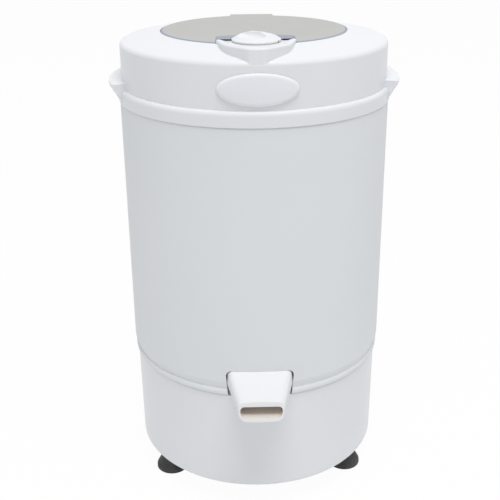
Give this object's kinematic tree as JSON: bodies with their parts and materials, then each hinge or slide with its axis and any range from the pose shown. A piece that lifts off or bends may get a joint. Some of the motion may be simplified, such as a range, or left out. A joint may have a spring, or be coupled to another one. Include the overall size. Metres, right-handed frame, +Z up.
{
  "type": "laundry spin dryer",
  "caption": "Free-standing round spin dryer on rubber feet, with a hinged lid panel, turning lock knob, perforated drum inside and a drain spout low at the front.",
  "frame": {"origin": "on the floor, in the middle of the whole outline; the drum's axis is 27.9 mm behind it, towards +Y", "axes": "+Z up; the front, with the drain spout, faces -Y; +X is on the right of someone who faces the front"},
  "size_m": [0.376, 0.4082, 0.6314],
  "materials": {
    "white_moulding": "gloss",
    "white_paint": "gloss",
    "smoked_panel": "satin",
    "grey_moulding": "satin",
    "dark_moulding": "matte",
    "black_rubber": "matte",
    "bright_steel": "brushed",
    "core_steel": "plain",
    "cast_aluminium": "cast"
  },
  "bodies": {
    "cabinet": {"base_housing": "white_moulding", "base_floor": "white_moulding", "body_shell": "white_paint", "top_housing": "white_moulding", "badge_plate": "white_moulding", "hinge_pin": "bright_steel", "safety_switch": "dark_moulding", "drain_spout": "white_moulding", "water_tub": "grey_moulding", "tub_seal": "black_rubber", "upper_bearing": "bright_steel", "lower_bearing": "bright_steel", "motor_housing": "cast_aluminium", "motor_end_cap": "cast_aluminium", "stator_core": "core_steel", "motor_plate": "core_steel", "brake_pivot": "bright_steel", "brake_spring": "bright_steel", "brake_cable": "dark_moulding", "run_capacitor": "dark_moulding", "cord_gland": "black_rubber", "foot_1": "black_rubber", "foot_2": "black_rubber", "foot_3": "black_rubber", "foot_screw_1": "bright_steel", "foot_screw_2": "bright_steel", "foot_screw_3": "bright_steel", "rubber_mount_1": "black_rubber", "rubber_mount_2": "black_rubber", "rubber_mount_3": "black_rubber", "mount_bolt_1": "bright_steel", "mount_bolt_2": "bright_steel", "mount_bolt_3": "bright_steel"},
    "lid": {"lid_panel": "smoked_panel"},
    "knob": {"lid_knob": "white_moulding", "knob_shaft": "dark_moulding", "lock_cam": "dark_moulding", "cable_arm": "dark_moulding"},
    "drum": {"spin_drum": "bright_steel", "drum_floor": "bright_steel", "drum_ring": "grey_moulding", "drum_hub": "cast_aluminium", "drum_nut": "bright_steel", "drive_shaft": "bright_steel", "rotor_core": "core_steel", "brake_disc": "core_steel"},
    "brake": {"brake_lever": "core_steel"}
  },
  "joints": [
    {"name": "lid_hinge", "type": "hinge", "parent": "cabinet", "child": "lid", "pos_m": [0, 0.1561, 0.6124], "axis": [-1, 0, 0], "range_deg": [0, 95]},
    {"name": "knob_turn", "type": "hinge", "parent": "cabinet", "child": "knob", "pos_m": [0, -0.0851, 0.61], "axis": [0, 0, -1], "range_deg": [0, 60]},
    {"name": "drum_spin", "type": "hinge", "parent": "cabinet", "child": "drum", "pos_m": [0, 0.0279, 0.3], "axis": [0, 0, 1], "continuous": true},
    {"name": "brake_swing", "type": "hinge", "parent": "cabinet", "child": "brake", "pos_m": [0.063, 0.0519, 0.151], "axis": [0, 0, 1], "range_deg": [0, 9]}
  ],
  "couplings": [
    {"joint": "brake_swing", "follows": "knob_turn", "ratio": 0.15}
  ]
}
